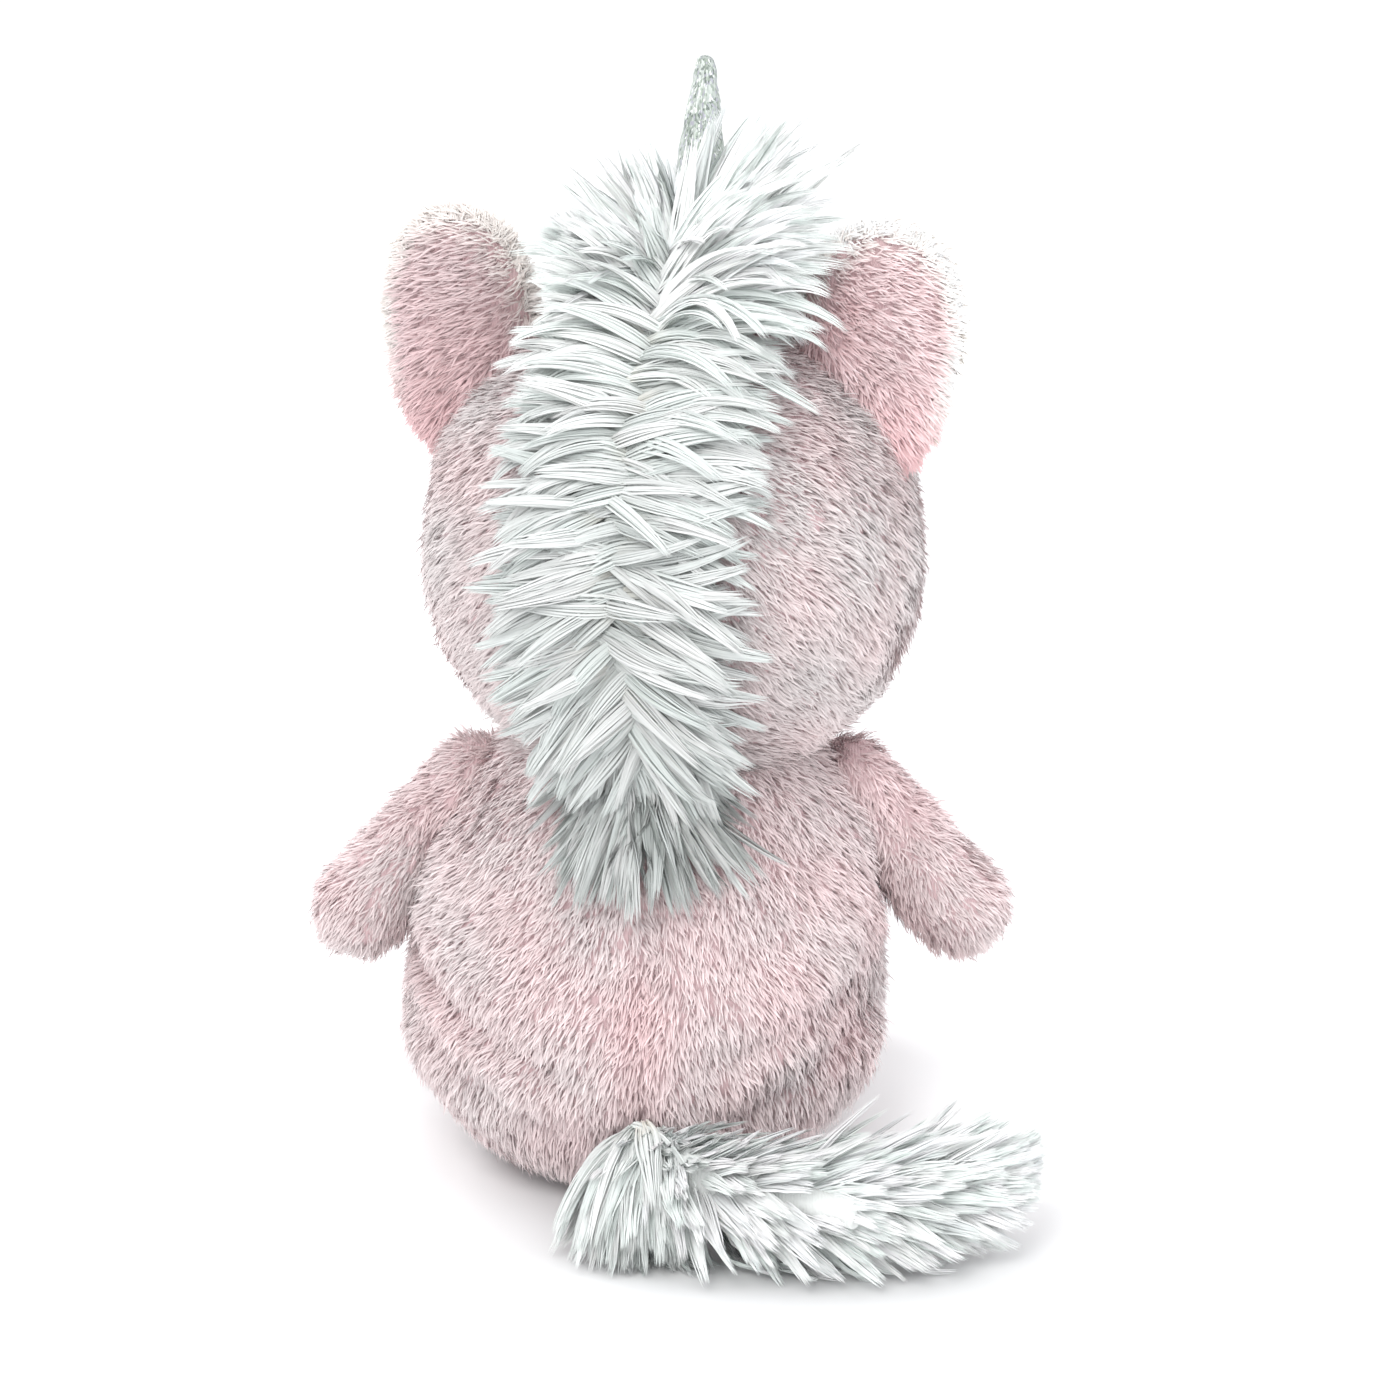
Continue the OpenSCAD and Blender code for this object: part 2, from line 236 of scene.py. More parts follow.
def strands(name, P, width, side, normal, colour, material, floor=None):
    """Tapered ribbons along the centrelines P (count, steps, 3), in mm. width is (count, steps),
    side and normal are (count, steps, 3), colour is (count, steps, 3). Returns the mesh objects."""
    count, steps, _ = P.shape
    if floor is not None:
        P = P.copy()
        P[..., 2] = np.maximum(P[..., 2], floor)
    per = 2 * (steps - 1) + 1
    tris_each = 2 * (steps - 2) + 1
    lo = P[:, :-1] - side[:, :-1] * width[:, :-1, None] / 2
    hi = P[:, :-1] + side[:, :-1] * width[:, :-1, None] / 2
    verts = np.concatenate([np.stack([lo, hi], 2).reshape(count, -1, 3), P[:, -1:]], 1)
    norms = np.concatenate([np.repeat(normal[:, :-1], 2, 1), normal[:, -1:]], 1)
    cols = np.concatenate([np.repeat(colour[:, :-1], 2, 1), colour[:, -1:]], 1)
    k = np.arange(steps - 2) * 2
    pattern = np.concatenate([np.stack([k, k + 1, k + 3], -1), np.stack([k, k + 3, k + 2], -1)])
    pattern = np.concatenate([pattern, [[per - 3, per - 2, per - 1]]])
    # each strand has a cell of its own in the texture, with its length along v
    pieces = int(math.ceil(count * tris_each / MOST_TRIS))
    out = []
    for i, chunk in enumerate(np.array_split(np.arange(count), pieces)):
        m = len(chunk)
        label = name if pieces == 1 else f"{name}_{i + 1}"
        faces = (np.arange(m)[:, None, None] * per + pattern[None]).reshape(-1, 3)
        obj = add_mesh(label, verts[chunk].reshape(-1, 3), faces, material)
        me = obj.data
        free = me.attributes.new("custom_normal", "FLOAT_VECTOR", "POINT")
        free.data.foreach_set("vector", norms[chunk].astype(np.float32).ravel())
        tint = me.attributes.new("tint", "FLOAT_COLOR", "POINT")
        rgba = np.concatenate([cols[chunk].reshape(-1, 3), np.ones((m * per, 1))], -1)
        tint.data.foreach_set("color", rgba.astype(np.float32).ravel())
        cells = int(math.ceil(math.sqrt(m)))
        cu, cv = np.arange(m) % cells, np.arange(m) // cells
        along = np.concatenate([np.repeat(np.arange(steps - 1), 2), [steps - 1]]) / (steps - 1)
        across = np.concatenate([np.tile([0.2, 0.8], steps - 1), [0.5]])
        uv = np.stack([(cu[:, None] + across) / cells, (cv[:, None] + 0.1 + 0.8 * along) / cells], -1)
        layer = me.uv_layers.new(name="OFBake")
        layer.data.foreach_set("uv", uv.reshape(-1, 2)[faces.ravel()].astype(np.float32).ravel())
        out.append(obj)
    return out


def plush(name, skin, comb, colour, material, seed, per_mm2=1.6, length=5.8, lean=(34, 76),
          width=0.54, mask=None, clump=9, spread=1.15, gather=0.36, rough=0.2, floor=0.3):
    """Short combed pile over a skin, in little tufts. comb(p, n) is the way it lies, and
    colour(p) gives the tint of the pile at its tips."""
    rng = np.random.default_rng(seed)
    p, n = skin.sample(per_mm2 * 0.75 / clump, rng, mask, even=True)
    singles_p, singles_n = skin.sample(per_mm2 * 0.25, rng, mask)
    tufts = len(p)
    p, n = np.concatenate([p, singles_p]), np.concatenate([n, singles_n])
    c = comb(p, n)
    c = c - n * (c * n).sum(-1, keepdims=True)
    c = unit(unit(c) + rough * 0.6 * rng.normal(size=c.shape))
    c = unit(c - n * (c * n).sum(-1, keepdims=True))
    b = np.cross(n, c)
    m = len(p)
    L0 = length * (1 + 0.12 * waves(p, 9, seed + 1) + 0.10 * rng.normal(size=m))
    tint0 = 1 + 0.05 * rng.normal(size=(m, 1))
    # strands of each tuft
    rep = np.concatenate([np.repeat(np.arange(tufts), clump), np.arange(tufts, m)])
    off = rng.normal(size=(len(rep), 2)) * spread
    root = p[rep] + c[rep] * off[:, :1] + b[rep] * off[:, 1:]
    N, C, B = n[rep], c[rep], b[rep]
    cc = unit(C + rough * rng.normal(size=(len(rep), 1)) * B)
    L = np.maximum(L0[rep] * (1 + 0.15 * rng.normal(size=len(rep))), length * 0.35)
    steps = 4
    ts = np.array([0, 0.34, 0.7, 1.0])
    a0 = np.radians(lean[0] + 10 * rng.normal(size=len(rep)))
    a1 = np.radians(lean[1] + 9 * rng.normal(size=len(rep)))
    P = np.zeros((len(rep), steps, 3))
    P[:, 0] = root - N * 0.8
    for i in range(1, steps):
        tm = (ts[i] + ts[i - 1]) / 2
        a = a0 + (a1 - a0) * tm
        seg = (L * (ts[i] - ts[i - 1]))[:, None]
        P[:, i] = P[:, i - 1] + seg * (N * np.cos(a)[:, None] + cc * np.sin(a)[:, None])
    pull = gather * ts ** 1.5
    P -= (C[:, None] * off[:, :1, None] + B[:, None] * off[:, 1:, None]) * pull[None, :, None]
    side = unit(np.cross(P[:, -1] - P[:, 0], N))
    side = unit(side + 0.35 * rng.normal(size=(len(rep), 1)) * N)
    lying = unit(np.cross(side, P[:, -1] - P[:, 0]))
    lying *= np.sign((lying * N).sum(-1, keepdims=True))
    shade = unit(0.62 * N + 0.38 * lying + 0.10 * rng.normal(size=N.shape))
    w = width * np.array([0.9, 1.0, 0.75, 0.0])[None] * (1 + 0.2 * rng.normal(size=(len(rep), 1)))
    tip = colour(root) * (tint0[rep] + 0.05 * rng.normal(size=(len(rep), 1)))
    # painted shade: each strand is painted darker towards its root, where the tufts shade one another, and a
    # little rosier there; the tips are painted a touch lighter
    depth = np.array([0.74, 0.87, 0.98, 1.05])
    rosy = np.array([1.02, 0.93, 0.94])
    col = tip[:, None] * (depth[None, :, None] * (1 + (rosy - 1) * (1 - depth)[None, :, None] * 3))
    S = np.repeat(side[:, None], steps, 1)
    H = np.repeat(shade[:, None], steps, 1)
    return strands(name, P, w, S, H, np.clip(col, 0, 1), material, floor)


# ---------------------------------------------------------------- materials

def new_material(name):
    mat = bpy.data.materials.new(name)
    mat.use_nodes = True
    return mat, mat.node_tree, mat.node_tree.nodes["Principled BSDF"]


def fur_material(name, roughness, sheen):
    mat, tree, bsdf = new_material(name)
    tint = tree.nodes.new("ShaderNodeAttribute")
    tint.attribute_name = "tint"
    tree.links.new(tint.outputs["Color"], bsdf.inputs["Base Color"])
    bsdf.inputs["Roughness"].default_value = roughness
    bsdf.inputs["Sheen Weight"].default_value = sheen
    bsdf.inputs["Sheen Roughness"].default_value = 0.45
    bsdf.inputs["Specular IOR Level"].default_value = 0.25
    return mat


def cloth_material(name, dark, light, scale, roughness=0.9, bump=0.3, sheen=0.3):
    """Knitted or woven backing: two tones mixed by noise, with a fine woven bump."""
    mat, tree, bsdf = new_material(name)
    nodes, links = tree.nodes, tree.links
    coords = nodes.new("ShaderNodeTexCoord")
    noise = nodes.new("ShaderNodeTexNoise")
    noise.inputs["Scale"].default_value = scale
    noise.inputs["Detail"].default_value = 4
    ramp = nodes.new("ShaderNodeValToRGB")
    ramp.color_ramp.elements[0].position = 0.35
    ramp.color_ramp.elements[1].position = 0.65
    ramp.color_ramp.elements[0].color = (*dark, 1)
    ramp.color_ramp.elements[1].color = (*light, 1)
    wave = nodes.new("ShaderNodeTexWave")
    wave.inputs["Scale"].default_value = 380
    wave.inputs["Distortion"].default_value = 1.5
    raised = nodes.new("ShaderNodeBump")
    raised.inputs["Strength"].default_value = bump
    raised.inputs["Distance"].default_value = 0.0004
    links.new(coords.outputs["Object"], noise.inputs["Vector"])
    links.new(coords.outputs["Object"], wave.inputs["Vector"])
    links.new(noise.outputs["Fac"], ramp.inputs["Fac"])
    links.new(ramp.outputs["Color"], bsdf.inputs["Base Color"])
    links.new(wave.outputs["Fac"], raised.inputs["Height"])
    links.new(raised.outputs["Normal"], bsdf.inputs["Normal"])
    bsdf.inputs["Roughness"].default_value = roughness
    bsdf.inputs["Sheen Weight"].default_value = sheen
    return mat


PINK_FUR = fur_material("pink_pile", 0.85, 0.35)
CREAM_FUR = fur_material("cream_pile", 0.85, 0.3)
WHITE_FUR = fur_material("white_shag", 0.55, 0.15)
PINK_SKIN = cloth_material("pink_backing", (0.62, 0.44, 0.455), (0.70, 0.52, 0.53), 60)
CREAM_SKIN = cloth_material("cream_backing", (0.72, 0.66, 0.58), (0.82, 0.77, 0.70), 60)

floor_mat = cloth_material("floor_paper", (0.90, 0.90, 0.90), (0.93, 0.93, 0.93), 3, 0.95, 0.0, 0.0)
FLOOR_HALF = 3000
corners = np.array([[-1, -1, 0], [1, -1, 0], [1, 1, 0], [-1, 1, 0]]) * FLOOR_HALF
ground = add_mesh("ground", corners, [[0, 1, 2, 3]], floor_mat)

PINK = np.array([0.845, 0.69, 0.69])
ROSE = np.array([0.85, 0.58, 0.59])
GREY_PINK = np.array([0.775, 0.695, 0.69])
HEAD_TINT = np.array([0.90, 0.93, 0.925])


def pink_at(p):
    """Tint of the pink pile: warmer and greyer in patches."""
    t = waves(p, 38, 901)[..., None]
    warm = np.clip(0.5 + 0.5 * t, 0, 1)
    return GREY_PINK * (1 - warm) + PINK * warm


# ---------------------------------------------------------------- torso

BODY_R, WIDE_Z = 69.5, 50.0
SEAT_LINE = np.array([[0, 1.6], [12, 1.3], [20, 1.3]])


def torso_profile():
    a = np.radians(np.linspace(8, 90, 20))
    low = np.stack([22 + (BODY_R - 22) * np.sin(a), 1.3 + (WIDE_Z - 1.3) * (1 - np.cos(a))], -1)
    b = np.radians(np.linspace(4, 47, 16))
    high = np.stack([BODY_R * np.cos(b), WIDE_Z + 96 * np.sin(b)], -1)
    top = np.array([[43.5, 125.5], [40.5, 130], [36, 133.5], [30, 136], [22, 137.5]])
    return np.concatenate([SEAT_LINE, low, high, top])


def resample(line, count):
    d = np.r_[0, np.cumsum(np.linalg.norm(np.diff(line, axis=0), axis=1))]
    s = np.linspace(0, d[-1], count)
    return np.stack([np.interp(s, d, line[:, i]) for i in range(line.shape[1])], -1)


def shoulder(s):
    """Where an arm turns, in mm. s is 1 on the toy's left and -1 on its right."""
    return np.array([-5 + 55 * s, -2, 114.0])


def groove(distance, width, depth):
    return -depth * np.exp(-(distance / width) ** 2)


def torso_skin():
    prof = resample(torso_profile(), 110)
    nu = 160
    phi = np.arange(nu) / nu * 2 * math.pi
    r, z = prof[:, 0][None], prof[:, 1][None]
    x = r * np.sin(phi)[:, None]
    y = -r * np.cos(phi)[:, None]          # phi = 0 is the belly, pi is the back
    z = np.repeat(z, nu, 0)
    verts = np.stack([x, y, z], -1).reshape(-1, 3)
    faces = grid_faces(nu, 110)
    n = vertex_normals(verts, faces)
    X, Y, Z = verts.T
    behind = Y > 0
    lumps = 1.1 * waves(verts, 42, 11) + 0.5 * waves(verts, 19, 12)
    free = smooth(Z, 6, 22) * (1 - smooth(Z, 118, 130))
    d = lumps * free
    # back seam, side seams and the sagging folds of the lower back: side, height, slope and depth
    d += np.where(behind, groove(X, 4.5, 3.2), 0) * smooth(Z, 10, 30) * (1 - smooth(Z, 95, 112))
    d += groove(Y, 3.5, 1.6) * (np.abs(X) > 20) * smooth(Z, 8, 24) * (1 - smooth(Z, 92, 105))
    folds = ((1, 37, 0.55, 4.6), (1, 13, 0.72, 4.2), (-1, 20, 0.62, 4.6), (-1, 48, 0.30, 3.2))
    for s, z0, slope, depth in folds:
        line = z0 + slope * np.abs(X) * 0.75
        reach = smooth(s * X, 12, 30) * smooth(Y, -5, 15)
        d += groove(Z - line, 6.5, depth) * reach + groove(Z - line - 12, 8, -1.2) * reach
    # shoulders swell out to meet the arms
    for s in (1, -1):
        out = np.linalg.norm(verts - np.array([s * 50, -2, 114]), axis=1)
        d += 3.5 * np.exp(-(out / 17) ** 2)
    verts = verts + n * d[:, None]
    verts[:, 2] = np.maximum(verts[:, 2], 1.0)
    # the torso leans a little towards the head
    verts[:, 0] -= 4.5 * smooth(verts[:, 2], 40, 135)
    return Skin(verts, faces)


torso = torso_skin()


def torso_comb(p, n):
    x, zero = p[:, 0], np.zeros(len(p))
    away = np.stack([np.sign(x) * 0.35 * np.exp(-np.abs(x) / 30), zero, zero - 1], -1)
    return away + 0.35 * np.stack([waves(p, 55, 31), waves(p, 55, 32), zero], -1)


def torso_colour(p):
    x, y, z = p.T
    seam = (np.exp(-(x / 9) ** 2) * (y > 0) * smooth(z, 20, 40) * (1 - smooth(z, 75, 100)))[:, None]
    return pink_at(p) * (1 - 0.4 * seam) + ROSE * 0.4 * seam


def torso_mask(p, n):
    return (p[:, 2] > 2.2) & (p[:, 2] < 135.5)


torso_obj = add_mesh("torso_cover", torso.v, torso.q, PINK_SKIN)
torso_fur = plush("torso_pile", torso, torso_comb, torso_colour, PINK_FUR, 101, mask=torso_mask)

# ---------------------------------------------------------------- head

def head_skin():
    d, quads = ball_grid(160, 96, 0.02)
    r = HEAD_R + 0.8 * waves(d * HEAD_R, 45, 21) + 0.35 * waves(d * HEAD_R, 18, 22)
    local = d * r[:, None]
    # full cheeks, a little wider than tall
    local[:, 0] *= 1.012
    local[:, 2] *= 0.99
    return Skin(from_head(local), quads)


head = head_skin()


def head_comb(p, n):
    q = to_head(p)
    side = np.stack([np.tanh(q[:, 0] / 12), 0.25 + 0 * q[:, 0], -0.75 + 0 * q[:, 0]], -1)
    # on the face the pile lies outwards from the muzzle
    front = smooth(-q[:, 1], 10, 45)[:, None]
    face = q - np.array([0, -60, -10])
    return dir_from_head(side * (1 - front) + unit(face) * front) + 0.25 * drift(p, 45, 33)


def head_mask(p, n):
    q = to_head(p)
    muzzle = ((q[:, 0] / 33) ** 2 + ((q[:, 2] + 14) / 23) ** 2 < 1) & (q[:, 1] < -30)
    return ~muzzle & (q[:, 2] > -60)


head_obj = add_mesh("head_cover", head.v, head.q, PINK_SKIN)
head_fur = plush("head_pile", head, head_comb, lambda p: pink_at(p) * HEAD_TINT, PINK_FUR, 102,
                 mask=head_mask)

# the bodies for a blend, and where each blend starts and ends, in metres; filling() reads only whether one is
# given, and then leaves the filling unattached to any body
TORSO_TO_NECK = ("torso", "neck", (-.0045, 0, .112), (-.0045, 0, .130))
NECK_TO_HEAD = ("neck", "head", (-.0045, 0, .128), (-.0045, 0, .150))

for o in [torso_obj, *torso_fur]:
    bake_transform(o)
for o in [head_obj, *head_fur]:
    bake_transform(o)
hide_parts("torso_back_left_panel", "torso_back_right_panel", "torso_belly_panel", "seat_panel")
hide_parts("head_left_panel", "head_right_panel")

# ---------------------------------------------------------------- more materials

def plastic_material(name, colour, roughness, coat=0.0):
    mat, tree, bsdf = new_material(name)
    noise = tree.nodes.new("ShaderNodeTexNoise")
    noise.inputs["Scale"].default_value = 900
    raised = tree.nodes.new("ShaderNodeBump")
    raised.inputs["Strength"].default_value = 0.08
    raised.inputs["Distance"].default_value = 0.0002
    tree.links.new(noise.outputs["Fac"], raised.inputs["Height"])
    tree.links.new(raised.outputs["Normal"], bsdf.inputs["Normal"])
    bsdf.inputs["Base Color"].default_value = (*colour, 1)
    bsdf.inputs["Roughness"].default_value = roughness
    bsdf.inputs["Coat Weight"].default_value = coat
    bsdf.inputs["Coat Roughness"].default_value = 0.05
    return mat


def glitter_material():
    """Silver lame: fine upright speckle in silver, pale green and lavender."""
    mat, tree, bsdf = new_material("silver_lame")
    nodes, links = tree.nodes, tree.links
    coords = nodes.new("ShaderNodeTexCoord")
    stretch = nodes.new("ShaderNodeMapping")
    stretch.inputs["Scale"].default_value = (1, 1, 0.38)
    cells = nodes.new("ShaderNodeTexVoronoi")
    cells.inputs["Scale"].default_value = 2100
    split = nodes.new("ShaderNodeSeparateColor")
    ramp = nodes.new("ShaderNodeValToRGB")
    ramp.color_ramp.interpolation = "CONSTANT"
    tones = [(0.0, (0.19, 0.22, 0.20)), (0.14, (0.32, 0.37, 0.32)), (0.36, (0.45, 0.49, 0.46)),
             (0.60, (0.42, 0.42, 0.47)), (0.74, (0.54, 0.58, 0.54)), (0.93, (0.80, 0.82, 0.80))]
    while len(ramp.color_ramp.elements) < len(tones):
        ramp.color_ramp.elements.new(0.5)
    for stop, (place, colour) in zip(ramp.color_ramp.elements, tones):
        stop.position = place
        stop.color = (*colour, 1)
    raised = nodes.new("ShaderNodeBump")
    raised.inputs["Strength"].default_value = 0.35
    raised.inputs["Distance"].default_value = 0.0003
    links.new(coords.outputs["Object"], stretch.inputs["Vector"])
    links.new(stretch.outputs["Vector"], cells.inputs["Vector"])
    links.new(cells.outputs["Color"], split.inputs["Color"])
    links.new(split.outputs["Red"], ramp.inputs["Fac"])
    links.new(ramp.outputs["Color"], bsdf.inputs["Base Color"])
    links.new(split.outputs["Green"], raised.inputs["Height"])
    links.new(raised.outputs["Normal"], bsdf.inputs["Normal"])
    bsdf.inputs["Metallic"].default_value = 0.45
    bsdf.inputs["Roughness"].default_value = 0.42
    return mat


SILVER = glitter_material()
FILLING = cloth_material("polyester", (0.90, 0.90, 0.90), (0.97, 0.97, 0.97), 250, 0.95, 0.1)
# painted shade: the backing under the locks is painted grey-white, as the shade deep among their roots
SHADED_WHITE_BED = cloth_material("white_backing", (0.78, 0.80, 0.78), (0.86, 0.88, 0.86), 120, 0.9, 0.2)
POUCH_CLOTH = cloth_material("pouch_cloth", (0.80, 0.79, 0.76), (0.88, 0.87, 0.84), 90)
THREAD = fur_material("rose_thread", 0.5, 0.2)
EYE = plastic_material("eye_plastic", (0.012, 0.010, 0.012), 0.12, 1.0)
WASHER = plastic_material("washer_plastic", (0.85, 0.85, 0.83), 0.45)


def filling(name, skin, inset, body, node, blend=None):
    """The stuffing inside a cover: the same form, drawn in."""
    obj = add_mesh(name, skin.v - skin.n * inset, skin.q, FILLING)
    if blend:
        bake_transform(obj)
    else:
        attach(obj, body)
    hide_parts(node)
    return obj


# ---------------------------------------------------------------- limbs

def limb_skin(origin, axis, ref, a, b, reach, seed, cut=None, detail=None):
    """A stuffed limb: a round root of radius a, a round end of radius b, and its length to the end.
    cut flattens the end there. detail(q) moves the skin out, by place in the limb's own axes."""
    axis = unit(np.asarray(axis, float))
    ref = unit(ref - axis * (axis @ ref))
    third = np.cross(axis, ref)
    t = np.radians(np.linspace(2, 88, 14))
    root = np.stack([a * np.sin(t), -a * np.cos(t)], -1)
    u = np.linspace(0, 1, 26)
    body = np.stack([a + (b - a) * u * u * (3 - 2 * u), (reach - b) * u], -1)
    t = np.radians(np.linspace(3, 89, 22))
    end = np.stack([b * np.cos(t), reach - b + b * np.sin(t)], -1)
    prof = resample(np.concatenate([root, body, end]), 72)
    if cut is not None:
        over = prof[:, 1] > cut
        prof[over, 1] = cut + 0.12 * (prof[over, 1] - cut)
    nu = 72
    phi = np.arange(nu) / nu * 2 * math.pi
    x = prof[:, 0][None] * np.cos(phi)[:, None]
    y = prof[:, 0][None] * np.sin(phi)[:, None]
    z = np.repeat(prof[:, 1][None], nu, 0)
    q = np.stack([x, y, z], -1).reshape(-1, 3)
    quads = grid_faces(nu, 72)
    n = vertex_normals(q, quads)
    d = 0.7 * waves(q, 24, seed) + 0.3 * waves(q, 11, seed + 1)
    # the seam between the two panels runs down both sides
    d += groove(q[:, 1], 1.8, 0.9) * smooth(q[:, 2], 4, 14)
    if detail is not None:
        d += detail(q)
    q = q + n * d[:, None]
    v = np.asarray(origin, float) + q[:, :1] * third + q[:, 1:2] * ref + q[:, 2:] * axis
    if np.linalg.det(np.stack([third, ref, axis])) < 0:
        quads = quads[:, ::-1]
    return Skin(v, quads), axis, ref


LIMB_PILE = {"per_mm2": 1.6, "length": 5.2, "lean": (36, 78), "width": 0.52, "gather": 0.35, "rough": 0.16}
ARM_OUT = math.radians(40)
LEG_SPLAY, LEG_PITCH = math.radians(14), math.radians(7)


def arm_creases(q):
    """A dimple on the back of the arm with creases running out of it."""
    at = np.array([-3.0, 13.0, 17.0])
    off = q - at
    far = np.linalg.norm(off, axis=1)
    d = -3.0 * np.exp(-(far / 5.5) ** 2)
    ang = np.arctan2(off[:, 0], off[:, 2])
    rays = np.cos(ang * 5 + 0.6) ** 6
    return d - 1.5 * rays * np.exp(-((far - 9) / 7) ** 2) * (q[:, 1] > 0)


def arm(side):
    s = 1 if side == "left" else -1
    origin = shoulder(s)
    axis = np.array([s * math.sin(ARM_OUT), 0, -math.cos(ARM_OUT)])
    skin, axis, _ = limb_skin(origin, axis, np.array([0, 1.0, 0]), 12.0, 14.2, 64.5, 40 + s,
                                detail=arm_creases)
    cover = add_mesh(f"{side}_arm_cover", skin.v, skin.q, PINK_SKIN)

    def comb(p, n):
        return axis + 0.3 * drift(p, 30, 51)

    def colour(p):
        near = np.exp(-(np.linalg.norm(p - origin - axis * 8, axis=1) / 16) ** 2)[:, None]
        return pink_at(p) * (1 - 0.5 * near) + ROSE * 0.5 * near

    pile = plush(f"{side}_arm_pile", skin, comb, colour, PINK_FUR, 110 + s, **LIMB_PILE)
    for o in [cover, *pile]:
        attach(o, f"{side}_arm")
    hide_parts(f"{side}_arm_front_panel", f"{side}_arm_back_panel")
    filling(f"{side}_arm_filling", skin, 2, f"{side}_arm", f"{side}_arm_stuffing")


def leg(side):
    s = 1 if side == "left" else -1
    origin = np.array([36.0 * s, -55, 26])
    flat = np.array([s * math.sin(LEG_SPLAY), -math.cos(LEG_SPLAY), 0])
    axis = flat * math.cos(LEG_PITCH) - np.array([0, 0, math.sin(LEG_PITCH)])
    skin, axis, ref = limb_skin(origin, axis, np.array([0, 0, 1.0]), 15.0, 17.3, 60.5, 60 + s, cut=50.5)
    cover = add_mesh(f"{side}_leg_cover", skin.v, skin.q, PINK_SKIN)

    def comb(p, n):
        down = np.array([0, 0, -1.0])
        return 0.5 * axis + down + 0.2 * drift(p, 30, 54)

    def mask(p, n):
        return (n @ axis < 0.8) | ((p - origin) @ axis < 45)

    pile = plush(f"{side}_leg_pile", skin, comb, pink_at, PINK_FUR, 120 + s, mask=mask, **LIMB_PILE)
    for o in [cover, *pile]:
        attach(o, f"{side}_leg")
    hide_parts(f"{side}_leg_upper_panel", f"{side}_leg_lower_panel")
    filling(f"{side}_leg_filling", skin, 2, f"{side}_leg", f"{side}_leg_stuffing")
    # the sole: a crowned cream disc
    nu, nv = 72, 16
    phi = np.arange(nu) / nu * 2 * math.pi
    k = np.linspace(0.01, 1, nv)
    third = np.cross(axis, ref)
    R, T = np.meshgrid(k, phi)
    r = 15.6 * R
    up = 51.0 + 2.6 * (1 - R ** 4) + 0.2 * np.cos(3 * T)
    v = origin + (r * np.cos(T))[..., None] * third + (r * np.sin(T))[..., None] * ref + up[..., None] * axis
    quads = grid_faces(nu, nv)
    pad = Skin(v.reshape(-1, 3), quads).facing(axis)
    sole = add_mesh(f"{side}_sole", pad.v, pad.q, CREAM_SKIN)

    def sole_comb(p, n):
        return np.tile([0, 0, -1.0], (len(p), 1)) + 0.5 * ref

    short = plush(f"{side}_sole_pile", pad, sole_comb, cream_at, CREAM_FUR, 130 + s, per_mm2=2.2, length=2.6,
                  lean=(20, 60), width=0.4, spread=0.7)
    for o in [sole, *short]:
        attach(o, f"{side}_leg")
    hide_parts(f"{side}_sole_pad")


CREAM = np.array([0.90, 0.86, 0.79])


def cream_at(p):
    t = (0.5 + 0.5 * waves(p, 20, 905))[..., None]
    return CREAM * (0.97 + 0.05 * np.clip(t, 0, 1))


# ---------------------------------------------------------------- ears

# each ear's middle in the head's axes, its half-width and half-length, and its lean in degrees
EARS = {1: (60.5, 60, 21.0, 35.0, 6), -1: (55.0, 58, 23.5, 37.0, 12)}


def ear_faces(s, back):
    """One domed face of an ear in its own oval, out to its rim, in the head's axes."""
    nu, nv = 96, 30
    phi = np.arange(nu) / nu * 2 * math.pi
    k = np.linspace(0.01, 1, nv)
    R, T = np.meshgrid(k, phi)
    # a rounded oval, broader at the top than an ellipse
    c, e = np.cos(T), np.sin(T)
    mid_x, mid_z, w, h, lean = EARS[s]
    x = w * R * np.sign(c) * np.abs(c) ** 0.85
    z = h * R * np.sign(e) * np.abs(e) ** 0.92
    bulge = 5.0 * np.sqrt(np.clip(1 - R ** 2.6, 0, 1))
    flat = np.stack([x, z, 0 * x], -1)
    cup = -3.5 * (x / w) ** 2 - 1.5 * np.clip(z / h, 0, 1) ** 2
    y = cup + back * bulge * (1 + 0.15 * waves(flat, 24, 70 + s))
    if back > 0:
        # a shallow fold runs up the middle of the ear's back
        y += -1.6 * np.exp(-((x - 2 * s) / 4.5) ** 2) * smooth(-z, -20, 20) * (1 - R ** 4)
    lean = math.radians(lean)
    px = x * math.cos(lean) + z * math.sin(lean)
    pz = -x * math.sin(lean) + z * math.cos(lean)
    q = np.stack([s * (mid_x + px), y, mid_z + pz], -1).reshape(-1, 3)
    return Skin(from_head(q), grid_faces(nu, nv)).facing(dir_from_head(np.array([0, back, 0.0])))


